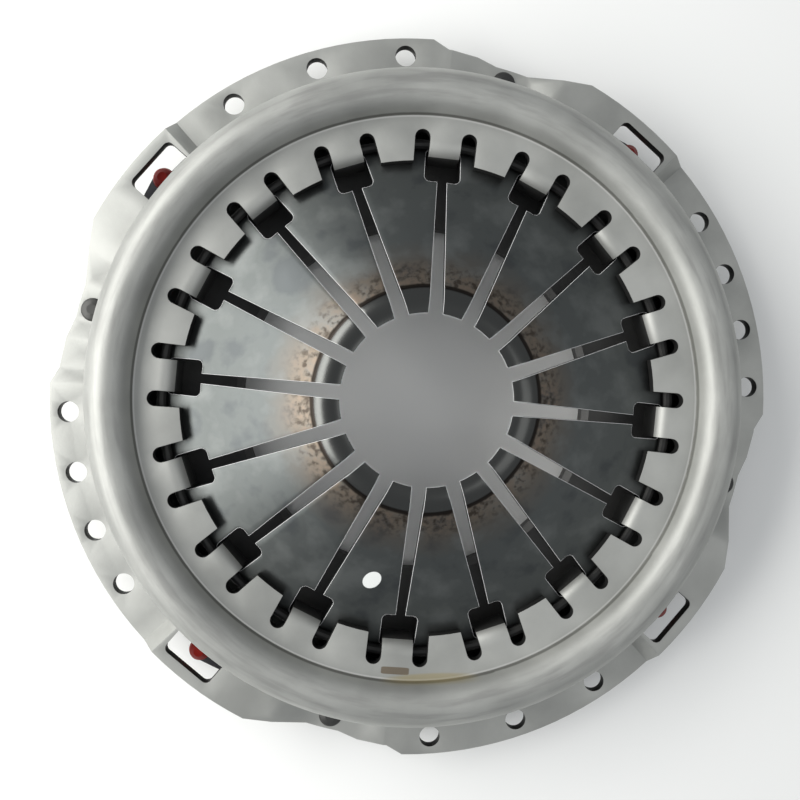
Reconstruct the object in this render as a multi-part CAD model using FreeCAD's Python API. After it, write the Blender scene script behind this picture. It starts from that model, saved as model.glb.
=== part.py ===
import FreeCAD, Part
import math
import os

os.makedirs("parts", exist_ok=True)

# Clutch cover assembly for a 430 mm class push-type clutch, seen unbolted (free state).
# Millimetres. +Z points to the release bearing, the origin is on the shaft axis
# in the plane of the cover's bolting flange (its underside).

# cover pressing
SHEET = 6.0                 # thickness of the pressed steel
FLANGE_R = 236.5            # outer radius of the bolting flange
BOLT_EDGE = 11.5            # from a bolt hole's centre to the flange's rim
BOLT_R = FLANGE_R - BOLT_EDGE
BOLT_HOLE = 13.5            # medium clearance hole of an M12 bolt
FLANGE_REACH = 46.9         # from the bead's crest to the flange's rim
BEAD_R = FLANGE_R - FLANGE_REACH
BEAD_Z = 29.5               # height of the centre of the bead's round section
BEAD_OUT = 16.0             # outside radius of the bead's section
PLATFORM_Z = 26.0           # underside of the flat ring inside the bead
WALL_FILLET = 2.0           # bevel between wall and flange
SEGMENTS = 16               # tabs, teeth, spring windows and fingers

# heights of the stepped flange, undersides
FLANGE_Z = 0.0
RIVET_PAD_Z = -4.0          # these pads dip into pockets of the flywheel
WINDOW_PAD_Z = 9.0

# outer radii of the stepped flange
WINDOW_PAD_R = FLANGE_R - 2.1
WINDOW_NECK_R = FLANGE_R - 8.0
BOLT_NECK_R = FLANGE_R - 5.7
RIVET_PAD_R = FLANGE_R - 9.1

# one quarter of the stepped flange, in degrees from a main axis
BOLT_FROM = -19.6
BOLT_TO = 24.2
WINDOW_PAD_FROM = 26.2
WINDOW_PAD_TO = 44.0
WINDOW_NECK = 48.4
RIVET_PAD_FROM = 54.0
RIVET_PAD_WIDENS = 59.5
RIVET_PAD_TO = 62.9
BOLT_NECK_FROM = 67.3
BOLT_NECK_TO = 67.8

# window above each lug of the pressure plate
WINDOW_MID = 31.7
WINDOW_HALF = 4.6           # half its width, in degrees
WINDOW_R_OUT = FLANGE_R - 9.0
WINDOW_DEPTH = 19.5
WINDOW_CORNER = 4.0

# fulcrum rings
FULCRUM_INSET = 28.1        # from the fulcrum rings to the bead's crest
FULCRUM_R = BEAD_R - FULCRUM_INSET
UPPER_WIRE = 3.0            # wire radius of the upper ring
LOWER_WIRE = 3.0            # wire radius of the lower ring
WIRE_GAP = 0.4              # room between the lower ring and the tabs
SEAT_GAP = 0.05             # room between the spring and both rings
RING_SPLIT = 1.2            # degrees of the gap in each wire ring
RING_SIDES = 10             # flats that stand for the wire's round section
UPPER_SPLIT = 11.25         # where the gap of each ring lies
LOWER_SPLIT = 191.25

# teeth, notches and tabs
TOOTH_REACH = 12.9          # from the fulcrum rings to the teeth's inner end
TOOTH_R = FULCRUM_R - TOOTH_REACH
TOOTH_SIDE = 18.9           # half of the opening between two teeth at their tips
NOTCH_R = FULCRUM_R + 1.7   # centres of the round notch ends
NOTCH_END = 4.8             # radius of the notch ends
NOTCH_ANGLE = 5.15          # degrees from a tab's axis to its two notches
TAB_WIDTH = 19.5
TAB_CORNER = 3.0            # outer radius of a tab's first bend
TAB_WRAP = 78.0             # degrees that a tab wraps under the lower ring
HIDDEN_RUNS = 5             # straight runs on the hidden side of the bead
BEND_RUNS = 5               # straight runs in each bend of a tab

# diaphragm spring
SPRING_T = 4.8
SPRING_R = BEAD_R + 4.4
SPRING_SLOPE = 24.5         # cone angle of the disc part
FINGER_SLOPE = 26.2         # angle of the fingers
CROWN_START = 37.0          # the tips rise at this angle from the crease and round over
CROWN_END = -17.0           # angle at their ends
CROWN_RUNS = 5
WINDOW_OUTER = FULCRUM_R - 2.0
WINDOW_LENGTH = 23.5        # spring windows
WINDOW_INNER = WINDOW_OUTER - WINDOW_LENGTH
WINDOW_WIDTH = 22.5
CREASE_R = 66.0
TIP_R = 49.8
SLOT_OUT = 6.0              # slot width at the windows
SLOT_IN = 8.2               # slot width at the tips

# pressure plate
FACE_Z = -23.0              # friction face in the free state
PLATE_R = FLANGE_R - 20.5
PLATE_BORE = 117.0
RIM_TOP = -13.0
WEB_TOP = -10.0
RIDGE_R = SPRING_R - 3.0    # circle where the spring presses
RIDGE_HALF = 3.0
RIB_COUNT = 16
RIB_WIDTH = 4.0

# straps and their rivets
LEAF_T = 0.9
LEAVES = 3
LEAF_GAP = 0.02             # room between two leaves
LEAF_WIDTH = 14.4
LEAF_PAST_LUG = 2.0         # a leaf stays level this far past its lug's edge
LEAF_RUNS = 6               # straight runs in a leaf's bend
COVER_RIVET_R = RIVET_PAD_R - 9.1
COVER_RIVET_ANGLE = 57.6
PLATE_RIVET_ANGLE = 32.0
RIVET_SHANK = 4.0
RIVET_FIT = 0.05            # radial room of the shanks in their holes
HEAD_R = 7.6
TAIL = 1.6                  # height of the cover rivets' closing heads
TAIL_R = 5.6
RED_HEAD_R = 7.3
RED_HEAD_ROOM = 0.6         # from a red head to the outer edge of its window
PLATE_RIVET_R = WINDOW_R_OUT - RED_HEAD_R - RED_HEAD_ROOM
RED_HEAD_H = 5.6
WASHER_T = 1.2
WASHER_R = 7.2

# lugs and pockets of the pressure plate
LUG_TOP = -6.0
LUG_FROM = 26.8
LUG_TO = 37.5
LUG_R = PLATE_RIVET_R + 1.5
LUG_BOSS = 7.2
LIFT = 10.5                 # travel of the pressure plate
POCKET_FROM = 46.5          # pocket in the rim below each strap's fixed end
POCKET_TO = 67.0
POCKET_R = PLATE_R - 17.0
POCKET_ROOM = 0.8
THROUGH = 60.0              # length of the cutters that pass right through

UP = FreeCAD.Vector(0, 0, 1)
ORIGIN = FreeCAD.Vector(0, 0, 0)


def rad(angle):
    return math.radians(angle)


def at(radius, z, angle=0.0):
    return FreeCAD.Vector(radius * math.cos(rad(angle)), radius * math.sin(rad(angle)), z)


def arc(a, b, c):
    return Part.Arc(a, b, c).toShape()


def turned(shape, angle):
    copy = shape.copy()
    copy.rotate(ORIGIN, UP, angle)
    return copy


def revolved(edges, span=360.0):
    face = Part.Face(Part.Wire(edges))
    return face.revolve(ORIGIN, UP, span)


def cylinder(radius, height, base):
    return Part.makeCylinder(radius, height, base, UP)


def polygon_prism(points, z, height):
    wire = Part.makePolygon([FreeCAD.Vector(x, y, z) for x, y in points + points[:1]])
    return Part.Face(wire).extrude(FreeCAD.Vector(0, 0, height))


def cut_box(x0, x1, half, corner, z, height):
    side = [(x0, corner - half), (x0 + corner, -half), (x1 - corner, -half), (x1, corner - half)]
    return polygon_prism(side + [(x, -y) for x, y in reversed(side)], z, height)


def rounded_box(x0, x1, half, corner, z, height):
    box = Part.makeBox(x1 - x0, 2 * half, height, FreeCAD.Vector(x0, -half, z))
    upright = [e for e in box.Edges if abs(e.tangentAt(e.FirstParameter).z) > 0.9]
    return box.makeFillet(corner, upright)


def button(radius, height, base):
    # a rivet head drawn with a steep side and a sloping crown
    side = Part.makeCone(radius, radius * 0.86, height * 0.5, base, UP)
    crown = Part.makeCone(radius * 0.86, radius * 0.42, height * 0.5, base + FreeCAD.Vector(0, 0, height * 0.5), UP)
    return side.fuse(crown)


def export(name, shape):
    shape.exportStep("parts/" + name + ".step")


# cover

BEAD_IN = BEAD_OUT - SHEET
WALL_OUT = BEAD_R + BEAD_OUT
WALL_IN = BEAD_R + BEAD_IN


def bead_point(section_radius, angle):
    x = BEAD_R + section_radius * math.cos(rad(angle))
    z = BEAD_Z + section_radius * math.sin(rad(angle))
    return at(x, z)


def cover_cap():
    # the visible side of the bead is round, its hidden side is drawn in straight runs
    top = PLATFORM_Z + SHEET
    outer_end = 180 - math.degrees(math.asin((top - BEAD_Z) / BEAD_OUT))
    inner_end = 180 - math.degrees(math.asin((PLATFORM_Z - BEAD_Z) / BEAD_IN))
    under = [bead_point(BEAD_IN, inner_end * k / HIDDEN_RUNS) for k in range(HIDDEN_RUNS, -1, -1)]
    rim = [bead_point(BEAD_OUT, outer_end), at(TOOTH_R, top), at(TOOTH_R, PLATFORM_Z)]
    edges = Part.makePolygon(rim + under + [bead_point(BEAD_OUT, 0)]).Edges
    edges.append(arc(bead_point(BEAD_OUT, 0), bead_point(BEAD_OUT, 70), bead_point(BEAD_OUT, outer_end)))
    return revolved(edges)


def flange_section(angle, underside, rim):
    top = underside + SHEET
    inner = WALL_FILLET + SHEET * 0.5
    outline = [
        at(WALL_OUT, BEAD_Z, angle),
        at(WALL_OUT, top + WALL_FILLET, angle),
        at(WALL_OUT + WALL_FILLET, top, angle),
        at(rim, top, angle),
        at(rim, underside, angle),
        at(WALL_IN + inner, underside, angle),
        at(WALL_IN, underside + inner, angle),
        at(WALL_IN, BEAD_Z, angle),
    ]
    return Part.makePolygon(outline + outline[:1]).Edges


def flange_sector(start, end, underside, rim):
    return turned(revolved(flange_section(0, underside, rim), end - start), start)


def flange_ramp(start, z0, rim0, end, z1, rim1):
    first = Part.Wire(flange_section(start, z0, rim0))
    last = Part.Wire(flange_section(end, z1, rim1))
    return Part.makeLoft([first, last], True, True)


def stepped_flange():
    # (angle, underside, outer radius) round one quarter, each joined to the next
    stations = [
        (BOLT_NECK_FROM - 90, FLANGE_Z, BOLT_NECK_R),
        (BOLT_NECK_TO - 90, FLANGE_Z, BOLT_NECK_R),
        (BOLT_FROM, FLANGE_Z, FLANGE_R),
        (BOLT_TO, FLANGE_Z, FLANGE_R),
        (WINDOW_PAD_FROM, WINDOW_PAD_Z, WINDOW_PAD_R),
        (WINDOW_PAD_TO, WINDOW_PAD_Z, WINDOW_PAD_R),
        (WINDOW_NECK, WINDOW_PAD_Z, WINDOW_NECK_R),
        (RIVET_PAD_FROM, RIVET_PAD_Z, RIVET_PAD_R),
        (RIVET_PAD_WIDENS, RIVET_PAD_Z, RIVET_PAD_R),
        (RIVET_PAD_TO, RIVET_PAD_Z, BOLT_NECK_R),
        (BOLT_NECK_FROM, FLANGE_Z, BOLT_NECK_R),
    ]
    quarter = []
    for (start, z0, rim0), (end, z1, rim1) in zip(stations, stations[1:]):
        if (z0, rim0) == (z1, rim1):
            quarter.append(flange_sector(start, end, z0, rim0))
        else:
            quarter.append(flange_ramp(start, z0, rim0, end, z1, rim1))
    return [turned(piece, 90 * k) for k in range(4) for piece in quarter]


def notch_cutter():
    end = at(NOTCH_R, 0, NOTCH_ANGLE)
    low = PLATFORM_Z - 1
    tall = SHEET + 2
    half = TAB_WIDTH / 2
    side = [(TOOTH_R - 8.6, TOOTH_SIDE), (end.x, end.y + NOTCH_END), (end.x, end.y - NOTCH_END), (FULCRUM_R, half)]
    points = side + [(x, -y) for x, y in reversed(side)]
    cutter = polygon_prism(points, low, tall)
    for sign in (1, -1):
        cutter = cutter.fuse(cylinder(NOTCH_END, tall, FreeCAD.Vector(end.x, sign * end.y, low)))
    return cutter


def tab():
    # the strip runs level out of the platform, bends down, then wraps under the lower ring
    bend_in = LOWER_WIRE + WIRE_GAP
    bend_out = bend_in + SHEET
    upper_z = PLATFORM_Z - bend_in
    lower_z = lower_ring_z()
    wrap = 180 + TAB_WRAP

    def bend(x, z, radius, start, end):
        spots = []
        for k in range(BEND_RUNS + 1):
            angle = rad(start + (end - start) * k / BEND_RUNS)
            spots.append(at(x + radius * math.cos(angle), z + radius * math.sin(angle)))
        return spots

    root = FULCRUM_R + 2
    corner_x = FULCRUM_R - bend_out + TAB_CORNER
    corner_z = PLATFORM_Z + SHEET - TAB_CORNER
    outline = [at(root, PLATFORM_Z), at(root, PLATFORM_Z + SHEET)]
    outline += bend(corner_x, corner_z, TAB_CORNER, 90, 180)
    outline += bend(FULCRUM_R, lower_z, bend_out, 180, wrap)
    outline += bend(FULCRUM_R, lower_z, bend_in, wrap, 180)
    outline += bend(FULCRUM_R, upper_z, bend_in, 180, 90)
    edges = Part.makePolygon(outline + outline[:1]).Edges
    strip = Part.Face(Part.Wire(edges)).extrude(FreeCAD.Vector(0, TAB_WIDTH, 0))
    strip.translate(FreeCAD.Vector(0, -TAB_WIDTH / 2, 0))
    return strip


def cover():
    body = cover_cap()
    body = body.fuse(stepped_flange())
    pitch = 360 / SEGMENTS
    body = body.cut([turned(notch_cutter(), pitch * k) for k in range(SEGMENTS)])
    body = body.fuse([turned(tab(), pitch * k) for k in range(SEGMENTS)])
    holes = []
    window = rounded_box(WINDOW_R_OUT - WINDOW_DEPTH, WINDOW_R_OUT, WINDOW_R_OUT * math.sin(rad(WINDOW_HALF)),
                         WINDOW_CORNER, WINDOW_PAD_Z - 1, SHEET + 2)
    for quarter in range(4):
        base = 90 * quarter
        holes.append(turned(window, base + WINDOW_MID))
        for spot in bolt_angles(quarter):
            holes.append(cylinder(BOLT_HOLE / 2, SHEET + 2, at(BOLT_R, FLANGE_Z - 1, spot)))
        shank = RIVET_SHANK + RIVET_FIT
        rivet = at(COVER_RIVET_R, RIVET_PAD_Z - 1, base + COVER_RIVET_ANGLE)
        holes.append(cylinder(shank, SHEET + 2, rivet))
    return body.cut(holes).removeSplitter()


def bolt_angles(quarter):
    # two groups of four across the X axis, two groups of three across the Y axis
    offsets = (-15, -5, 5, 15) if quarter % 2 == 0 else (-15, 0, 15)
    return [90 * quarter + offset for offset in offsets]


# diaphragm spring and fulcrum rings

def slope(angle):
    return math.tan(rad(angle))


def spring_top(radius):
    top = PLATFORM_Z - UPPER_WIRE - ring_rise(UPPER_WIRE)
    if radius >= WINDOW_INNER:
        return top + (FULCRUM_R - radius) * slope(SPRING_SLOPE)
    top += (FULCRUM_R - WINDOW_INNER) * slope(SPRING_SLOPE)
    if radius >= CREASE_R:
        return top + (WINDOW_INNER - radius) * slope(FINGER_SLOPE)
    top += (WINDOW_INNER - CREASE_R) * slope(FINGER_SLOPE)
    inward = CREASE_R - radius
    bend = (slope(CROWN_END) - slope(CROWN_START)) / (CREASE_R - TIP_R)
    return top + inward * slope(CROWN_START) + bend * inward ** 2 / 2


def spring_depth():
    # vertical thickness of the coned disc
    return SPRING_T / math.cos(rad(SPRING_SLOPE))


def ring_rise(wire):
    # height between a wire's centre and the coned face that it touches
    return (wire + SEAT_GAP) / math.cos(rad(SPRING_SLOPE))


def lower_ring_z():
    return spring_top(FULCRUM_R) - spring_depth() - ring_rise(LOWER_WIRE)


def diaphragm_spring():
    stations = [SPRING_R, FULCRUM_R, WINDOW_INNER]
    stations += [CREASE_R + (TIP_R - CREASE_R) * k / CROWN_RUNS for k in range(CROWN_RUNS + 1)]
    top = [at(r, spring_top(r)) for r in stations]
    drop = FreeCAD.Vector(0, 0, -spring_depth())
    nose = FreeCAD.Vector(0, 0, SPRING_T * 0.35)
    under = [p + drop for p in top]
    outline = top + [under[-1] + nose] + under[-2::-1]
    disc = revolved(Part.makePolygon(outline + outline[:1]).Edges)
    cuts = []
    low = -20
    tall = 120
    slot = [(TIP_R - 10, SLOT_IN / 2), (WINDOW_INNER + 1, SLOT_OUT / 2)]
    slot += [(x, -y) for x, y in reversed(slot)]
    window = cut_box(WINDOW_INNER, WINDOW_OUTER, WINDOW_WIDTH / 2, WINDOW_CORNER / 2, low, tall)
    opening = window.fuse(polygon_prism(slot, low, tall))
    for k in range(SEGMENTS):
        cuts.append(turned(opening, k * 360 / SEGMENTS))
    return disc.cut(cuts)


def wire_ring(wire, z, split_at):
    # the flats touch the wire's own circle from inside
    corners = []
    for k in range(RING_SIDES):
        angle = 2 * math.pi * (k + 0.5) / RING_SIDES
        corners.append(at(FULCRUM_R + wire * math.cos(angle), z + wire * math.sin(angle)))
    edges = Part.makePolygon(corners + corners[:1]).Edges
    return turned(revolved(edges, 360 - RING_SPLIT), split_at)


# pressure plate

def rim_pocket():
    # room for a rivet pad, its strap and its rivet's closing head when the plate is lifted
    floor = RIVET_PAD_Z - LEAVES * LEAF_T - TAIL - LIFT - POCKET_ROOM
    span = POCKET_TO - POCKET_FROM
    sector = Part.makeCylinder(PLATE_R + 5, 30, at(0, floor), UP, span)
    return turned(sector, POCKET_FROM).cut(cylinder(POCKET_R, THROUGH, at(0, floor - 5)))


def pressure_plate():
    ridge_top = spring_top(RIDGE_R) - spring_depth()
    ridge_out = RIDGE_R + RIDGE_HALF
    body = revolved(Part.makePolygon([
        at(PLATE_BORE, FACE_Z + 1.5), at(PLATE_BORE + 1.5, FACE_Z),
        at(PLATE_R - 1.5, FACE_Z), at(PLATE_R, FACE_Z + 1.5), at(PLATE_R, RIM_TOP),
        at(ridge_out + 2.5, RIM_TOP), at(ridge_out, ridge_top - 2.2), at(RIDGE_R, ridge_top),
        at(RIDGE_R - RIDGE_HALF, ridge_top - 0.6), at(RIDGE_R - 14, WEB_TOP),
        at(PLATE_BORE + 4, WEB_TOP), at(PLATE_BORE, WEB_TOP - 4),
        at(PLATE_BORE, FACE_Z + 1.5)]).Edges)
    added = []
    rib = Part.makeBox(24, RIB_WIDTH, 5, FreeCAD.Vector(RIDGE_R - 26, -RIB_WIDTH / 2, WEB_TOP - 1))
    inner_rib = Part.makeBox(17, RIB_WIDTH, 6, FreeCAD.Vector(PLATE_BORE + 6, -RIB_WIDTH / 2, WEB_TOP - 1))
    for k in range(RIB_COUNT):
        added.append(turned(rib, (k + 0.5) * 360 / RIB_COUNT))
        added.append(turned(inner_rib, (k + 0.5) * 360 / RIB_COUNT))
    lug_low = FACE_Z + 2
    lug = Part.makeCylinder(LUG_R, LUG_TOP - lug_low, at(0, lug_low), UP, LUG_TO - LUG_FROM)
    lug = turned(lug, LUG_FROM).cut(cylinder(PLATE_R - 12, THROUGH, at(0, lug_low - 5)))
    boss = cylinder(LUG_BOSS, LUG_TOP - lug_low, at(PLATE_RIVET_R, lug_low, PLATE_RIVET_ANGLE))
    lug = lug.fuse(boss)
    cuts = []
    for k in range(4):
        added.append(turned(lug, 90 * k))
        cuts.append(turned(rim_pocket(), 90 * k))
        spot = PLATE_RIVET_ANGLE + 90 * k
        cuts.append(cylinder(RIVET_SHANK + RIVET_FIT, THROUGH, at(PLATE_RIVET_R, FACE_Z - 5, spot)))
        cuts.append(cylinder(TAIL_R + RIVET_FIT, 4.5, at(PLATE_RIVET_R, lug_low - 1, spot)))
    return body.fuse(added).cut(cuts).removeSplitter()


# straps and rivets

def rivet_spots(quarter):
    cover_end = at(COVER_RIVET_R, 0, COVER_RIVET_ANGLE + 90 * quarter)
    plate_end = at(PLATE_RIVET_R, 0, PLATE_RIVET_ANGLE + 90 * quarter)
    return cover_end, plate_end


def strap_leaf(quarter, level):
    # level 0 lies against the cover pad; a leaf is drawn along X and then laid on its chord
    cover_end, plate_end = rivet_spots(quarter)
    reach = plate_end - cover_end
    high = RIVET_PAD_Z - level * LEAF_T
    low = LUG_TOP + (LEAVES - level) * LEAF_T
    level_run = PLATE_RIVET_R * math.sin(rad(LUG_TO - PLATE_RIVET_ANGLE)) + LEAF_PAST_LUG
    span = reach.Length - 2 * level_run
    end = LEAF_WIDTH / 2
    top = [FreeCAD.Vector(-end, 0, high)]
    for i in range(LEAF_RUNS + 1):
        t = i / LEAF_RUNS
        share = t * t * (3 - 2 * t)
        top.append(FreeCAD.Vector(level_run + span * t, 0, high + (low - high) * share))
    top.append(FreeCAD.Vector(reach.Length + end, 0, low))
    drop = FreeCAD.Vector(0, 0, -(LEAF_T - LEAF_GAP))
    outline = top + [p + drop for p in reversed(top)]
    sheet = Part.Face(Part.makePolygon(outline + outline[:1])).extrude(FreeCAD.Vector(0, LEAF_WIDTH, 0))
    sheet.translate(FreeCAD.Vector(0, -end, 0))
    low_point = FreeCAD.Vector(0, 0, -THROUGH / 2)
    spots = [low_point, low_point + FreeCAD.Vector(reach.Length, 0, 0)]
    plan = Part.makeBox(reach.Length, LEAF_WIDTH, THROUGH, low_point - FreeCAD.Vector(0, end, 0))
    plan = plan.fuse([cylinder(end, THROUGH, spot) for spot in spots])
    leaf = sheet.common(plan).cut([cylinder(RIVET_SHANK + RIVET_FIT, THROUGH, spot) for spot in spots])
    leaf.rotate(ORIGIN, UP, math.degrees(math.atan2(reach.y, reach.x)))
    leaf.translate(cover_end)
    return leaf


def cover_rivet(quarter):
    spot = rivet_spots(quarter)[0]
    pad_top = RIVET_PAD_Z + SHEET
    strap_low = RIVET_PAD_Z - LEAVES * LEAF_T
    shank_low = strap_low - TAIL
    shank = cylinder(RIVET_SHANK, pad_top + 1 - shank_low, spot + FreeCAD.Vector(0, 0, shank_low))
    head = button(HEAD_R, 2.6, spot + FreeCAD.Vector(0, 0, pad_top))
    closing = cylinder(TAIL_R, TAIL, spot + FreeCAD.Vector(0, 0, shank_low))
    return shank.fuse([head, closing])


def plate_rivet(quarter):
    spot = rivet_spots(quarter)[1]
    seat = LUG_TOP + LEAVES * LEAF_T + WASHER_T
    tail_low = FACE_Z + 2.2
    shank = cylinder(RIVET_SHANK, seat + 1 - tail_low, spot + FreeCAD.Vector(0, 0, tail_low))
    head = button(RED_HEAD_R, RED_HEAD_H, spot + FreeCAD.Vector(0, 0, seat))
    tail = cylinder(TAIL_R, 3.3, spot + FreeCAD.Vector(0, 0, tail_low))
    return shank.fuse([head, tail])


def plate_washer(quarter):
    spot = rivet_spots(quarter)[1]
    base = spot + FreeCAD.Vector(0, 0, LUG_TOP + LEAVES * LEAF_T)
    return cylinder(WASHER_R, WASHER_T, base).cut(cylinder(RIVET_SHANK + RIVET_FIT, WASHER_T, base))


export("cover", cover())
export("diaphragm_spring", diaphragm_spring())
export("upper_fulcrum_ring", wire_ring(UPPER_WIRE, PLATFORM_Z - UPPER_WIRE, UPPER_SPLIT))
export("lower_fulcrum_ring", wire_ring(LOWER_WIRE, lower_ring_z(), LOWER_SPLIT))
export("pressure_plate", pressure_plate())
for number in range(4):
    label = str(number + 1)
    for leaf_level in range(LEAVES):
        export("strap_" + label + "_leaf_" + str(leaf_level + 1), strap_leaf(number, leaf_level))
    export("plate_rivet_" + label, plate_rivet(number))
export("cover_rivets", Part.Compound([cover_rivet(number) for number in range(4)]))
export("plate_washers", Part.Compound([plate_washer(number) for number in range(4)]))
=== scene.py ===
import math
import bpy
import bmesh
from mathutils import Matrix, Vector


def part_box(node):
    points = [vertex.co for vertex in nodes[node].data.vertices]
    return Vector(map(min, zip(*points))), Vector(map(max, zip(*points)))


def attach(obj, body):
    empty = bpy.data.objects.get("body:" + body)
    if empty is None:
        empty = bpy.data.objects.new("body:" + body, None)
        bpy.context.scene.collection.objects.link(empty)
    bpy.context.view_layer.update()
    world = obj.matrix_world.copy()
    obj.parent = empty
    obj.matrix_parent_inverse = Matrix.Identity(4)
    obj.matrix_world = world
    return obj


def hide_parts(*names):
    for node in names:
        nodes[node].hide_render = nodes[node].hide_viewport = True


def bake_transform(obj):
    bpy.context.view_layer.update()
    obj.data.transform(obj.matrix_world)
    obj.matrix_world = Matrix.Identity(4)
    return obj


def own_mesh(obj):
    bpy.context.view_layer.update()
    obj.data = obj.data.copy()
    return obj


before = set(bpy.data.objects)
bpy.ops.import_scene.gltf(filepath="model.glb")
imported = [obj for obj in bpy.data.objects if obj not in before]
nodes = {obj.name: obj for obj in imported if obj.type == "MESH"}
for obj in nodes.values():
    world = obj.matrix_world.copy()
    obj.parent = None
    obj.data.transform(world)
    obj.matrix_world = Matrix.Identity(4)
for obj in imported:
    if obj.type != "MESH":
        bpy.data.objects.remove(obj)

scene = bpy.context.scene
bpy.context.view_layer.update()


# Floor, lights and camera.
# The part stands on its friction face on a plain pale floor, lit softly from the left.
# The camera looks almost straight down, as in the photograph.

def floor_material():
    mat = bpy.data.materials.new("floor_paper")
    mat.use_nodes = True
    tree = mat.node_tree
    shader = tree.nodes["Principled BSDF"]
    shader.inputs["Roughness"].default_value = 0.9
    shader.inputs["Specular IOR Level"].default_value = 0.1
    coords = tree.nodes.new("ShaderNodeTexCoord")
    grain = tree.nodes.new("ShaderNodeTexNoise")
    grain.inputs["Scale"].default_value = 3.0
    ramp = tree.nodes.new("ShaderNodeValToRGB")
    ramp.color_ramp.elements[0].color = (0.84, 0.85, 0.83, 1)
    ramp.color_ramp.elements[1].color = (0.90, 0.90, 0.89, 1)
    tree.links.new(coords.outputs["Object"], grain.inputs["Vector"])
    tree.links.new(grain.outputs["Fac"], ramp.inputs["Fac"])
    tree.links.new(ramp.outputs["Color"], shader.inputs["Base Color"])
    return mat


def floor():
    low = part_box("pressure_plate")[0][2]
    half = 3.0
    corners = [(-half, -half, low), (half, -half, low), (half, half, low), (-half, half, low)]
    mesh = bpy.data.meshes.new("floor")
    mesh.from_pydata(corners, [], [(0, 1, 2, 3)])
    mesh.materials.append(floor_material())
    piece = bpy.data.objects.new("floor", mesh)
    scene.collection.objects.link(piece)
    return piece


def area_light(name, where, size, power, tint=(1, 1, 1)):
    # a rectangular lamp that points at the origin
    lamp = bpy.data.lights.new(name, "AREA")
    lamp.shape = "RECTANGLE"
    lamp.size, lamp.size_y = size
    lamp.energy = power
    lamp.color = tint
    piece = bpy.data.objects.new(name, lamp)
    piece.location = where
    piece.rotation_euler = (-Vector(where)).to_track_quat("-Z", "Y").to_euler()
    scene.collection.objects.link(piece)
    return piece


def studio_world():
    world = bpy.data.worlds.new("studio")
    world.use_nodes = True
    back = world.node_tree.nodes["Background"]
    back.inputs["Color"].default_value = (0.93, 0.96, 1.0, 1)
    back.inputs["Strength"].default_value = 0.43
    scene.world = world


def photo_camera():
    lens = bpy.data.cameras.new("photo_camera")
    lens.sensor_width = 36.0
    lens.lens = 31.59
    lens.clip_start = 0.01
    lens.dof.use_dof = False
    piece = bpy.data.objects.new("photo_camera", lens)
    piece.location = (-0.0368, 0.0175, 0.4683)
    piece.rotation_euler = (-0.01431, -0.06178, -0.29723)
    scene.collection.objects.link(piece)
    scene.camera = piece


studio_world()
photo_camera()
key_light = area_light("key_light", where=(-1.1, 0.56, 0.84), size=(2.4, 0.6), power=37, tint=(1.0, 0.99, 0.97))
fill_light = area_light("fill_light", where=(0.9, -0.6, 1.5), size=(1.2, 1.2), power=5)
floor()
scene.view_settings.view_transform = "Standard"


# Cover: one pressing of shot-blasted sheet steel, seen as cover_pressing.
# It keeps the CAD node's shape, but for the wide bends of its tabs, the bead's narrower inner half and its rounded
# edges.
# Rub marks and a few stains lie on it; a painted highlight line and a painted shade line mark the bead's foot, and
# its upright cut faces are painted dark as shade.

def steel_material(name, low, high, roughness, bump, grain=900.0, metal=0.85):
    # broad patches vary the tint and the roughness, and a fine grain makes the relief
    mat = bpy.data.materials.new(name)
    mat.use_nodes = True
    tree = mat.node_tree
    link = tree.links.new
    shader = tree.nodes["Principled BSDF"]
    shader.inputs["Metallic"].default_value = metal
    coords = tree.nodes.new("ShaderNodeTexCoord")
    patches = tree.nodes.new("ShaderNodeTexNoise")
    patches.inputs["Scale"].default_value = 22.0
    patches.inputs["Detail"].default_value = 6.0
    fine = tree.nodes.new("ShaderNodeTexNoise")
    fine.inputs["Scale"].default_value = grain
    fine.inputs["Detail"].default_value = 3.0
    tint = tree.nodes.new("ShaderNodeValToRGB")
    tint.color_ramp.elements[0].position = 0.3
    tint.color_ramp.elements[0].color = (*low, 1)
    tint.color_ramp.elements[1].position = 0.7
    tint.color_ramp.elements[1].color = (*high, 1)
    rough = tree.nodes.new("ShaderNodeMapRange")
    rough.inputs["To Min"].default_value = roughness - 0.06
    rough.inputs["To Max"].default_value = roughness + 0.08
    relief = tree.nodes.new("ShaderNodeBump")
    relief.inputs["Strength"].default_value = bump
    relief.inputs["Distance"].default_value = 0.0002
    link(coords.outputs["Object"], patches.inputs["Vector"])
    link(coords.outputs["Object"], fine.inputs["Vector"])
    link(patches.outputs["Fac"], tint.inputs["Fac"])
    link(patches.outputs["Fac"], rough.inputs["Value"])
    link(fine.outputs["Fac"], relief.inputs["Height"])
    link(tint.outputs["Color"], shader.inputs["Base Color"])
    link(rough.outputs["Result"], shader.inputs["Roughness"])
    link(relief.outputs["Normal"], shader.inputs["Normal"])
    return mat


def dress(names, mat):
    # gives CAD nodes their material
    for name in names:
        mesh = nodes[name].data
        mesh.materials.clear()
        mesh.materials.append(mat)


def polar(mat):
    # the object coordinates, the radius about the shaft axis and the unit direction from it
    tree = mat.node_tree
    coords = tree.nodes.new("ShaderNodeTexCoord")
    level = tree.nodes.new("ShaderNodeVectorMath")
    level.operation = "MULTIPLY"
    level.inputs[1].default_value = (1, 1, 0)
    radius = tree.nodes.new("ShaderNodeVectorMath")
    radius.operation = "LENGTH"
    way = tree.nodes.new("ShaderNodeVectorMath")
    way.operation = "NORMALIZE"
    tree.links.new(coords.outputs["Object"], level.inputs[0])
    tree.links.new(level.outputs[0], radius.inputs[0])
    tree.links.new(level.outputs[0], way.inputs[0])
    return coords.outputs["Object"], radius.outputs["Value"], way.outputs[0]


def combined(mat, how, one, two):
    tree = mat.node_tree
    result = tree.nodes.new("ShaderNodeMath")
    result.operation = how
    tree.links.new(one, result.inputs[0])
    tree.links.new(two, result.inputs[1])
    return result.outputs[0]


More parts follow.
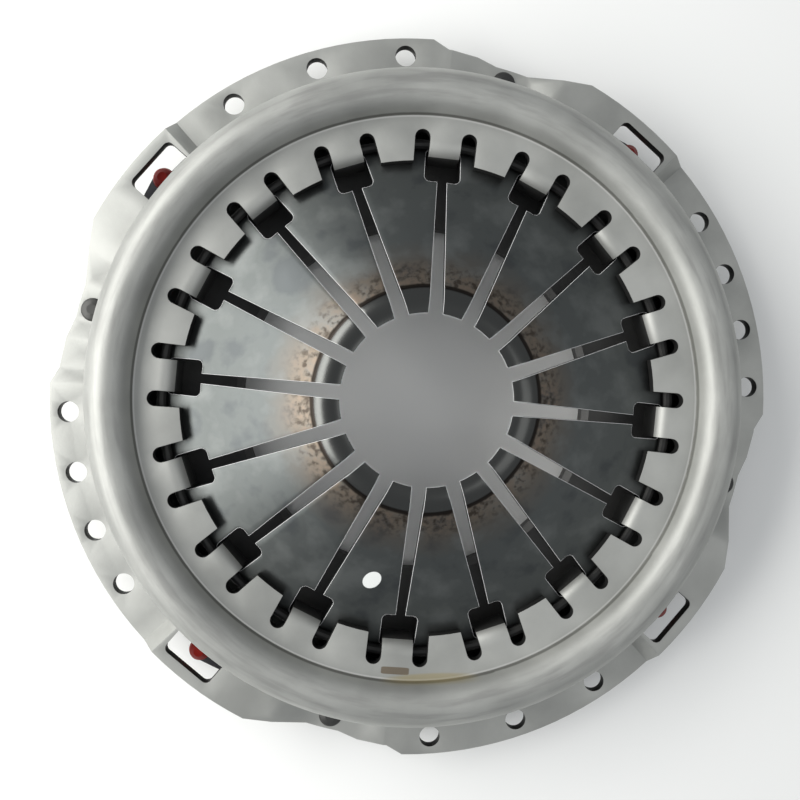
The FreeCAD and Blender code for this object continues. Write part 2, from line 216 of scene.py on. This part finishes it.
def band(mat, value, start, full, end, gone):
    # rises from start to full and falls from end to gone
    tree = mat.node_tree
    rise = tree.nodes.new("ShaderNodeMapRange")
    fall = tree.nodes.new("ShaderNodeMapRange")
    rise.inputs["From Min"].default_value = start
    rise.inputs["From Max"].default_value = full
    fall.inputs["From Min"].default_value = gone
    fall.inputs["From Max"].default_value = end
    tree.links.new(value, rise.inputs["Value"])
    tree.links.new(value, fall.inputs["Value"])
    return combined(mat, "MULTIPLY", rise.outputs["Result"], fall.outputs["Result"])


def streaks(mat, radius, way, around, across):
    # noise drawn out along the circumference
    tree = mat.node_tree
    rise = tree.nodes.new("ShaderNodeMath")
    rise.operation = "MULTIPLY"
    rise.inputs[1].default_value = across
    lift = tree.nodes.new("ShaderNodeCombineXYZ")
    place = tree.nodes.new("ShaderNodeVectorMath")
    place.operation = "MULTIPLY_ADD"
    place.inputs[1].default_value = (around, around, around)
    noise = tree.nodes.new("ShaderNodeTexNoise")
    noise.inputs["Scale"].default_value = 1.0
    noise.inputs["Detail"].default_value = 4.0
    tree.links.new(radius, rise.inputs[0])
    tree.links.new(rise.outputs[0], lift.inputs["Z"])
    tree.links.new(way, place.inputs[0])
    tree.links.new(lift.outputs[0], place.inputs[2])
    tree.links.new(place.outputs[0], noise.inputs["Vector"])
    return noise.outputs["Fac"]


def patch_mask(mat, position, centre, angle, along, across, soft, power=2.0):
    # 1 inside a rounded patch of half sizes along and across, turned by the angle in degrees
    tree = mat.node_tree
    shift = tree.nodes.new("ShaderNodeVectorMath")
    shift.operation = "SUBTRACT"
    shift.inputs[1].default_value = centre
    turn = tree.nodes.new("ShaderNodeVectorRotate")
    turn.rotation_type = "Z_AXIS"
    turn.inputs["Angle"].default_value = -math.radians(angle)
    shrink = tree.nodes.new("ShaderNodeVectorMath")
    shrink.operation = "MULTIPLY"
    shrink.inputs[1].default_value = (1 / along, 1 / across, 0)
    # the power sets the outline: 2 gives an oval, 8 nearly a rectangle
    fold = tree.nodes.new("ShaderNodeVectorMath")
    fold.operation = "ABSOLUTE"
    raised = tree.nodes.new("ShaderNodeVectorMath")
    raised.operation = "POWER"
    raised.inputs[1].default_value = (power, power, 1)
    reach = tree.nodes.new("ShaderNodeVectorMath")
    reach.operation = "DOT_PRODUCT"
    reach.inputs[1].default_value = (1, 1, 0)
    fade = tree.nodes.new("ShaderNodeMapRange")
    fade.interpolation_type = "SMOOTHSTEP"
    fade.inputs["From Min"].default_value = 1 + soft
    fade.inputs["From Max"].default_value = 1 - soft
    tree.links.new(position, shift.inputs[0])
    tree.links.new(shift.outputs[0], turn.inputs["Vector"])
    tree.links.new(turn.outputs[0], shrink.inputs[0])
    tree.links.new(shrink.outputs[0], fold.inputs[0])
    tree.links.new(fold.outputs[0], raised.inputs[0])
    tree.links.new(raised.outputs[0], reach.inputs[0])
    tree.links.new(reach.outputs["Value"], fade.inputs["Value"])
    return fade.outputs["Result"]


def steep_faces(mat, clear=0.45, full=0.15):
    # 1 on upright faces, 0 on faces whose normal rises above the clear value
    tree = mat.node_tree
    side = tree.nodes.new("ShaderNodeNewGeometry")
    split = tree.nodes.new("ShaderNodeSeparateXYZ")
    size = tree.nodes.new("ShaderNodeMath")
    size.operation = "ABSOLUTE"
    fade = tree.nodes.new("ShaderNodeMapRange")
    fade.inputs["From Min"].default_value = clear
    fade.inputs["From Max"].default_value = full
    tree.links.new(side.outputs["True Normal"], split.inputs[0])
    tree.links.new(split.outputs["Z"], size.inputs[0])
    tree.links.new(size.outputs[0], fade.inputs["Value"])
    return fade.outputs["Result"]


def tinted(mat, base, mask, colour, strength=1.0):
    # mixes the colour over the base by the mask
    tree = mat.node_tree
    share = tree.nodes.new("ShaderNodeMath")
    share.operation = "MULTIPLY"
    share.inputs[1].default_value = strength
    mix = tree.nodes.new("ShaderNodeMix")
    mix.data_type = "RGBA"
    mix.inputs[7].default_value = (*colour, 1)
    tree.links.new(mask, share.inputs[0])
    tree.links.new(share.outputs[0], mix.inputs[0])
    tree.links.new(base, mix.inputs[6])
    return mix.outputs[2]


def cover_material():
    mat = steel_material(
        "cover_steel", low=(0.32, 0.325, 0.307), high=(0.435, 0.44, 0.418),
        roughness=0.53, bump=0.25, grain=600.0, metal=0.65,
    )
    tree = mat.node_tree
    shader = tree.nodes["Principled BSDF"]
    position, radius, way = polar(mat)
    colour = shader.inputs["Base Color"].links[0].from_socket

    # rub marks along the bead's crest
    marks = band(mat, streaks(mat, radius, way, 5.0, 260.0), 0.45, 0.65, 0.9, 1.0)
    crest = band(mat, radius, 0.178, 0.184, 0.198, 0.204)
    colour = tinted(mat, colour, combined(mat, "MULTIPLY", marks, crest), (0.24, 0.24, 0.23), 0.5)

    # a painted highlight line and a painted shade line where the bead meets the flat ring, the light and shade of a
    # small groove at its foot
    painted_highlight_line = band(mat, radius, 0.1752, 0.1757, 0.1762, 0.1765)
    painted_shade_line = band(mat, radius, 0.1764, 0.1767, 0.1770, 0.1773)
    colour = tinted(mat, colour, painted_highlight_line, (0.62, 0.62, 0.60), 0.7)
    colour = tinted(mat, colour, painted_shade_line, (0.08, 0.08, 0.07), 0.7)

    # the upright faces of the tabs, notches, windows and holes are painted dark as shade
    inside = band(mat, radius, -1.0, -0.5, 0.1685, 0.1690)
    flange = band(mat, radius, 0.2078, 0.2080, 0.2330, 0.2340)
    painted_shade_upright = combined(mat, "MULTIPLY", combined(mat, "ADD", inside, flange), steep_faces(mat))
    colour = tinted(mat, colour, painted_shade_upright, (0.015, 0.015, 0.015), 0.95)

    # the tan patch on the flat ring and the yellowish stain beside it
    patch = patch_mask(mat, position, (-0.0655, -0.1575, 0), -22.0, 0.0088, 0.0023, 0.3, 8.0)
    stain = patch_mask(mat, position, (-0.046, -0.1685, 0), -16.0, 0.026, 0.0026, 0.7)
    colour = tinted(mat, colour, patch, (0.15, 0.115, 0.075), 0.85)
    colour = tinted(mat, colour, stain, (0.36, 0.30, 0.15), 0.6)
    tree.links.new(colour, shader.inputs["Base Color"])
    return mat


def widen_tab_bends(piece):
    # the 16 tabs leave the flat ring in a wide round bend
    tabs, half_width = 16, 0.0098
    face, top = 0.1521, 0.032           # radius of a tab's inner face, height of the flat ring
    corner, bend = 0.003, 0.008         # bend radius in the solid and in the photograph
    pitch = 2 * math.pi / tabs
    for spot in piece.data.vertices:
        turn = round(math.atan2(spot.co.y, spot.co.x) / pitch) * pitch
        local = Matrix.Rotation(-turn, 3, "Z") @ spot.co
        x, z = local.x - face - corner, local.z - top + corner
        on_bend = abs(math.hypot(x, z) - corner) < 1e-5 and x < 1e-5 and z > -1e-5
        if not on_bend or abs(local.y) > half_width:
            continue
        angle = math.atan2(z, x)
        local.x = face + bend + bend * math.cos(angle)
        local.z = top - bend + bend * math.sin(angle)
        spot.co = Matrix.Rotation(turn, 3, "Z") @ local


def tighten_bead(piece):
    # the inner half of the bead is narrower in the photograph than in the solid
    middle, low, section = 0.1896, 0.0295, 0.016    # the round section's centre and its radius
    foot, new_foot = 0.1738, 0.1766
    squeeze = (middle - new_foot) / (middle - foot)
    for spot in piece.data.vertices:
        reach = math.hypot(spot.co.x, spot.co.y)
        rise = spot.co.z - low
        on_section = abs(math.hypot(reach - middle, rise) - section) < 1e-4
        if on_section and reach < middle and rise > 0:
            share = (middle - (middle - reach) * squeeze) / reach
            spot.co.x *= share
            spot.co.y *= share


def round_edges(piece, width, angle=50):
    # bevels the edges sharper than the angle and shades the rest smooth
    shape = bmesh.new()
    shape.from_mesh(piece.data)
    bmesh.ops.remove_doubles(shape, verts=shape.verts, dist=2e-6)
    bmesh.ops.recalc_face_normals(shape, faces=shape.faces)
    sharp = [e for e in shape.edges if e.is_manifold and e.calc_face_angle(0) > math.radians(angle)]
    bmesh.ops.bevel(
        shape, geom=sharp, offset=width, segments=2, profile=0.6, affect="EDGES", clamp_overlap=True,
    )
    for face in shape.faces:
        face.smooth = True
    shape.to_mesh(piece.data)
    shape.free()
    piece.data.set_sharp_from_angle(angle=math.radians(35))


cover_steel = cover_material()
pressing = bpy.data.objects.new("cover_pressing", nodes["cover"].data.copy())
pressing.data.transform(nodes["cover"].matrix_world)
pressing.data.materials.clear()
pressing.data.materials.append(cover_steel)
scene.collection.objects.link(pressing)
widen_tab_bends(pressing)
tighten_bead(pressing)
round_edges(pressing, 0.0006, 38)
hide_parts("cover")
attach(pressing, "cover_body")
dress(["cover"], cover_steel)


# Diaphragm spring: a coned disc with 16 windows, 16 slots and 16 fingers.
# One half finger is meshed row by row and mirrored, then a node group repeats it round the axis.

SPRING = {
    "fingers": 16,
    "thick": 0.0048,
    "rim": 0.194,                       # outer radius
    "fulcrum": 0.1615,                  # radius of the fulcrum rings
    "fulcrum_top": 0.019648,            # height of the upper face at that radius
    "cone": math.radians(24.5),         # slope of the disc outside the windows' inner end
    "finger": math.radians(26.2),       # slope of the fingers
    "win_in": 0.136,                    # inner and outer radius of the windows
    "win_out": 0.1595,
    "win_half": 0.01125,                # half width of a window
    "corner": 0.004,                    # radius of its corners
    "slot_in": 0.0041,                  # half width of a slot at the tips and at the window
    "slot_out": 0.003,
    "crease": 0.066,                    # radius where the tips rise
    "crown": math.radians(37.0),        # slope of the tips at the crease and at their end
    "end": math.radians(-17.0),
    "tip": 0.0498,                      # inner radius
}


def spring_height(r, s=SPRING):
    # two straight runs joined by a short parabola, then the rounded crown of the tips
    z = s["fulcrum_top"] + (s["fulcrum"] - r) * math.tan(s["cone"])
    gap, soft = s["win_in"] - r, 0.004
    turn = math.tan(s["finger"]) - math.tan(s["cone"])
    if gap >= soft:
        z += turn * gap
    elif gap > -soft:
        z += turn * (gap + soft) ** 2 / (4 * soft)
    gap = s["crease"] - r
    if gap > 0:
        bend = (math.tan(s["end"]) - math.tan(s["crown"])) / (s["crease"] - s["tip"])
        z += (math.tan(s["crown"]) - math.tan(s["finger"])) * gap + bend * gap ** 2 / 2
    return z


def slot_edge(r, s=SPRING):
    # the angle from the slot's middle to its edge
    half = s["slot_in"] + (s["slot_out"] - s["slot_in"]) * (r - s["tip"]) / (s["win_in"] - s["tip"])
    return math.asin(half / r)


def window_edge(r, s=SPRING):
    # the angle from the window's middle to its edge, with rounded corners
    inset = min(r - s["win_in"], s["win_out"] - r)
    half = s["win_half"]
    if inset < s["corner"]:
        reach = s["corner"] - inset
        half = s["win_half"] - s["corner"] + math.sqrt(max(0.0, s["corner"] ** 2 - reach ** 2))
    return math.asin(half / r)


def spring_rows(s=SPRING):
    # each row is a radius and seven angles that end at the middle of a finger; the first is
    # the slot's edge, None beside the windows and the windows' middle in the rim
    mid = math.pi / s["fingers"]
    shares = [0.0, 0.12, 0.3, 0.53, 0.76, 1.0]
    first, last = window_edge(s["win_in"]), window_edge(s["win_out"])
    near = slot_edge(s["win_in"])
    spread = [(first + u * (mid - first) - near) / (mid - near) for u in shares]

    # the crown, four close rows beside the crease, and the straight part of the finger
    radii = [s["tip"] + (s["crease"] - s["tip"]) * i / 10 for i in range(11)]
    radii += [0.0668, 0.068, 0.0695, 0.071]
    radii += [0.071 + (0.132 - 0.071) * i / 9 for i in range(1, 10)] + [0.134, s["win_in"]]
    rows = []
    for r in radii:
        a = slot_edge(r)
        rows.append((r, [a] + [a + v * (mid - a) for v in spread]))

    # beside the window, with close rows along its corners
    c = s["corner"]
    for step in range(1, 20):
        if step <= 6:
            r = s["win_in"] + c * (1 - math.cos(math.pi / 2 * step / 6))
        elif step >= 14:
            r = s["win_out"] - c * (1 - math.cos(math.pi / 2 * (20 - step) / 6))
        else:
            r = s["win_in"] + c + (s["win_out"] - s["win_in"] - 2 * c) * (step - 6) / 8
        a = window_edge(r)
        rows.append((r, [None] + [a + u * (mid - a) for u in shares]))

    # the closed rim
    for i in range(9):
        r = s["win_out"] + (s["rim"] - s["win_out"]) * i / 8
        rows.append((r, [0.0] + [last + u * (mid - last) for u in shares]))
    return rows


def finger_mesh(s=SPRING):
    cone = bmesh.new()
    grid = []
    under = {}
    for r, angles in spring_rows():
        slope = (spring_height(r + 1e-4) - spring_height(r - 1e-4)) / 2e-4
        down = Vector((slope, 0, -1)).normalized() * s["thick"]
        line = []
        for a in angles:
            if a is None:
                line.append(None)
                continue
            top = Vector((r * math.cos(a), r * math.sin(a), spring_height(r)))
            low = Vector(((r + down.x) * math.cos(a), (r + down.x) * math.sin(a), top.z + down.z))
            spot = cone.verts.new(top)
            under[spot] = cone.verts.new(low)
            line.append(spot)
        grid.append(line)
    for i in range(len(grid) - 1):
        for j in range(len(grid[0]) - 1):
            a, b, c, d = grid[i][j], grid[i + 1][j], grid[i + 1][j + 1], grid[i][j + 1]
            if None in (a, b, c, d):
                continue
            cone.faces.new((a, b, c, d))
            cone.faces.new((under[d], under[c], under[b], under[a]))
    bmesh.ops.recalc_face_normals(cone, faces=cone.faces)

    def on_ray(edge, angle):
        return all(abs(math.atan2(v.co.y, v.co.x) - angle) < 1e-5 for v in edge.verts)

    # walls along the open edges, but for the two rays where the copies meet
    mid = math.pi / s["fingers"]
    for edge in [e for e in cone.edges if e.is_boundary]:
        v, w = edge.verts
        if v in under and w in under and not on_ray(edge, mid) and not on_ray(edge, 0):
            cone.faces.new((v, w, under[w], under[v]))
    both = bmesh.ops.duplicate(cone, geom=cone.verts[:] + cone.edges[:] + cone.faces[:])
    copies = [g for g in both["geom"] if isinstance(g, bmesh.types.BMVert)]
    bmesh.ops.scale(cone, vec=(1, -1, 1), verts=copies)
    bmesh.ops.remove_doubles(cone, verts=cone.verts, dist=1e-6)
    bmesh.ops.recalc_face_normals(cone, faces=cone.faces)
    mesh = bpy.data.meshes.new("finger")
    cone.to_mesh(mesh)
    cone.free()
    return mesh


def spin_group(name, count_name, count, mat):
    # repeats its mesh round the Z axis
    group = bpy.data.node_groups.new(name, "GeometryNodeTree")
    face = group.interface
    face.new_socket(name="Geometry", in_out="INPUT", socket_type="NodeSocketGeometry")
    number = face.new_socket(name=count_name, in_out="INPUT", socket_type="NodeSocketInt")
    number.default_value = count
    face.new_socket(name="Geometry", in_out="OUTPUT", socket_type="NodeSocketGeometry")
    new = group.nodes.new
    link = group.links.new
    start, end = new("NodeGroupInput"), new("NodeGroupOutput")
    spots = new("GeometryNodePoints")
    place = new("GeometryNodeInstanceOnPoints")
    index = new("GeometryNodeInputIndex")
    share = new("ShaderNodeMath")
    share.operation = "DIVIDE"
    turn = new("ShaderNodeMath")
    turn.operation = "MULTIPLY"
    turn.inputs[1].default_value = 2 * math.pi
    axis = new("ShaderNodeCombineXYZ")
    real = new("GeometryNodeRealizeInstances")
    paint = new("GeometryNodeSetMaterial")
    paint.inputs["Material"].default_value = mat
    link(start.outputs[count_name], spots.inputs["Count"])
    link(spots.outputs[0], place.inputs["Points"])
    link(start.outputs["Geometry"], place.inputs["Instance"])
    link(index.outputs[0], share.inputs[0])
    link(start.outputs[count_name], share.inputs[1])
    link(share.outputs[0], turn.inputs[0])
    link(turn.outputs[0], axis.inputs["Z"])
    link(axis.outputs[0], place.inputs["Rotation"])
    link(place.outputs[0], real.inputs["Geometry"])
    link(real.outputs[0], paint.inputs["Geometry"])
    link(paint.outputs[0], end.inputs["Geometry"])
    return group


def grown(name, mesh, group):
    # runs the node group on the mesh and keeps the result as a plain mesh
    seed = bpy.data.objects.new(name + "_seed", mesh)
    scene.collection.objects.link(seed)
    step = seed.modifiers.new("spin", "NODES")
    step.node_group = group
    graph = bpy.context.evaluated_depsgraph_get()
    result = bpy.data.meshes.new_from_object(seed.evaluated_get(graph))
    bpy.data.objects.remove(seed)
    piece = bpy.data.objects.new(name, result)
    scene.collection.objects.link(piece)
    return piece


def spring_material():
    mat = bpy.data.materials.new("spring_steel")
    mat.use_nodes = True
    tree = mat.node_tree
    link = tree.links.new
    shader = tree.nodes["Principled BSDF"]
    position, radius, _ = polar(mat)
    blotch = tree.nodes.new("ShaderNodeTexNoise")
    blotch.inputs["Scale"].default_value = 38.0
    blotch.inputs["Detail"].default_value = 8.0
    mottle = tree.nodes.new("ShaderNodeTexNoise")
    mottle.inputs["Scale"].default_value = 290.0
    mottle.inputs["Detail"].default_value = 5.0
    link(position, blotch.inputs["Vector"])
    link(position, mottle.inputs["Vector"])

    # brown near the tips to blue-grey outside, over a radius that the blotches make wavy
    wobble = tree.nodes.new("ShaderNodeMath")
    wobble.operation = "MULTIPLY_ADD"
    wobble.inputs[1].default_value = 0.030
    scale = tree.nodes.new("ShaderNodeMapRange")
    scale.inputs["From Min"].default_value = 0.065
    scale.inputs["From Max"].default_value = 0.215
    tint = tree.nodes.new("ShaderNodeValToRGB")
    stops = [
        (0.0, (0.115, 0.102, 0.085)),
        (0.15, (0.132, 0.114, 0.093)),
        (0.22, (0.115, 0.11, 0.10)),
        (0.30, (0.10, 0.108, 0.106)),
        (0.60, (0.106, 0.114, 0.111)),
        (1.0, (0.13, 0.137, 0.133)),
    ]
    ramp = tint.color_ramp
    while len(ramp.elements) < len(stops):
        ramp.elements.new(0.5)
    for element, (where, shade) in zip(ramp.elements, stops):
        element.position = where
        element.color = (*shade, 1)
    link(blotch.outputs["Fac"], wobble.inputs[0])
    link(radius, wobble.inputs[2])
    link(wobble.outputs[0], scale.inputs["Value"])
    link(scale.outputs["Result"], tint.inputs["Fac"])
    colour = tint.outputs["Color"]

    # light and dark blotches
    light_blotch = band(mat, blotch.outputs["Fac"], 0.5, 0.66, 0.9, 1.0)
    dark_blotch = band(mat, blotch.outputs["Fac"], 0.1, 0.2, 0.34, 0.44)
    colour = tinted(mat, colour, light_blotch, (0.19, 0.20, 0.195), 0.5)
    colour = tinted(mat, colour, dark_blotch, (0.05, 0.055, 0.06), 0.5)

    # the scorched ring outside the crease, with brown specks and dark pits
    specks = band(mat, mottle.outputs["Fac"], 0.46, 0.64, 0.9, 1.0)
    scorched = band(mat, wobble.outputs[0], 0.070, 0.076, 0.083, 0.097)
    pits = band(mat, mottle.outputs["Fac"], 0.1, 0.2, 0.36, 0.50)
    pitted = band(mat, radius, 0.0655, 0.0665, 0.073, 0.084)
    colour = tinted(mat, colour, combined(mat, "MULTIPLY", specks, scorched), (0.19, 0.148, 0.115), 0.7)
    colour = tinted(mat, colour, combined(mat, "MULTIPLY", pits, pitted), (0.035, 0.026, 0.02), 0.75)

    # the smoother crown of the tips, the dark crease, and painted shade on the upright cut faces
    crown = band(mat, radius, -1.0, -0.5, 0.0654, 0.0662)
    crease = band(mat, radius, 0.0642, 0.0651, 0.0667, 0.0677)
    colour = tinted(mat, colour, crown, (0.078, 0.080, 0.077))
    colour = tinted(mat, colour, crease, (0.014, 0.011, 0.009), 0.95)
    colour = tinted(mat, colour, steep_faces(mat, 0.78, 0.5), (0.02, 0.02, 0.02), 0.75)

    # the white paint dot, which is matt and not metal
    dot = patch_mask(mat, position, (-0.0619, -0.0959, 0), 30.0, 0.0064, 0.0050, 0.06)
    metal = tree.nodes.new("ShaderNodeMath")
    metal.operation = "MULTIPLY_ADD"
    metal.inputs[1].default_value = -0.95
    metal.inputs[2].default_value = 0.95
    link(dot, metal.inputs[0])
    link(metal.outputs[0], shader.inputs["Metallic"])
    link(tinted(mat, colour, dot, (0.80, 0.82, 0.80)), shader.inputs["Base Color"])

    rough = tree.nodes.new("ShaderNodeMapRange")
    rough.inputs["To Min"].default_value = 0.36
    rough.inputs["To Max"].default_value = 0.54
    relief = tree.nodes.new("ShaderNodeBump")
    relief.inputs["Strength"].default_value = 0.25
    relief.inputs["Distance"].default_value = 0.0003
    link(blotch.outputs["Fac"], rough.inputs["Value"])
    link(tinted(mat, rough.outputs["Result"], crown, (0.27, 0.27, 0.27)), shader.inputs["Roughness"])
    link(blotch.outputs["Fac"], relief.inputs["Height"])
    link(relief.outputs["Normal"], shader.inputs["Normal"])
    return mat


steel = spring_material()
spring = grown("diaphragm", finger_mesh(), spin_group("spring_fingers", "Fingers", SPRING["fingers"], steel))
round_edges(spring, 0.0002)
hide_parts("diaphragm_spring")
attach(spring, "cover_body")
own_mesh(spring)
dress(["diaphragm_spring"], steel)


# Fulcrum rings: dark drawn wire above and below the spring.
# Both CAD nodes keep their shape.

wire_steel = steel_material("wire_steel", low=(0.03, 0.03, 0.03), high=(0.05, 0.05, 0.048), roughness=0.5, bump=0.2)
dress(["upper_fulcrum_ring", "lower_fulcrum_ring"], wire_steel)


# Pressure plate: a grey iron casting with a turned friction face.
# The CAD node keeps its shape. Its lugs show in the windows and its bore through the slots.

grey_iron = steel_material(
    "grey_iron", low=(0.10, 0.10, 0.10), high=(0.16, 0.16, 0.155), roughness=0.6, bump=0.9, grain=400.0,
)
dress(["pressure_plate"], grey_iron)


# Straps: four packs of three thin leaves.
# Each leaf runs between its rivet in the cover and its rivet in the pressure plate.


strap_steel = steel_material(
    "strap_steel", low=(0.05, 0.05, 0.055), high=(0.10, 0.10, 0.11), roughness=0.32, bump=0.15,
)
for pack in range(1, 5):
    for leaf in range(1, 4):
        name = "strap_%d_leaf_%d" % (pack, leaf)
        mesh = nodes[name].data.copy()
        mesh.transform(nodes[name].matrix_world)
        mesh.materials.clear()
        mesh.materials.append(strap_steel)
        piece = bpy.data.objects.new("bending_" + name, mesh)
        scene.collection.objects.link(piece)
        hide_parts(name)
        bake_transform(piece)
        dress([name], strap_steel)


# Rivets and washers: the CAD nodes keep their shape.
# Dark rivets hold the straps to the cover. Red-painted ones over plain washers hold them to the plate.

dark_steel = steel_material("dark_rivet", low=(0.05, 0.05, 0.05), high=(0.09, 0.09, 0.085), roughness=0.5, bump=0.5)
dress(["cover_rivets"], dark_steel)

plain_steel = steel_material("washer_steel", low=(0.12, 0.12, 0.12), high=(0.2, 0.2, 0.19), roughness=0.4, bump=0.2)
dress(["plate_washers"], plain_steel)

red = steel_material(
    "red_paint", low=(0.15, 0.006, 0.004), high=(0.30, 0.014, 0.008),
    roughness=0.45, bump=0.8, grain=300.0, metal=0.0,
)
red.node_tree.nodes["Principled BSDF"].inputs["Specular IOR Level"].default_value = 0.2
dress(["plate_rivet_%d" % n for n in range(1, 5)], red)
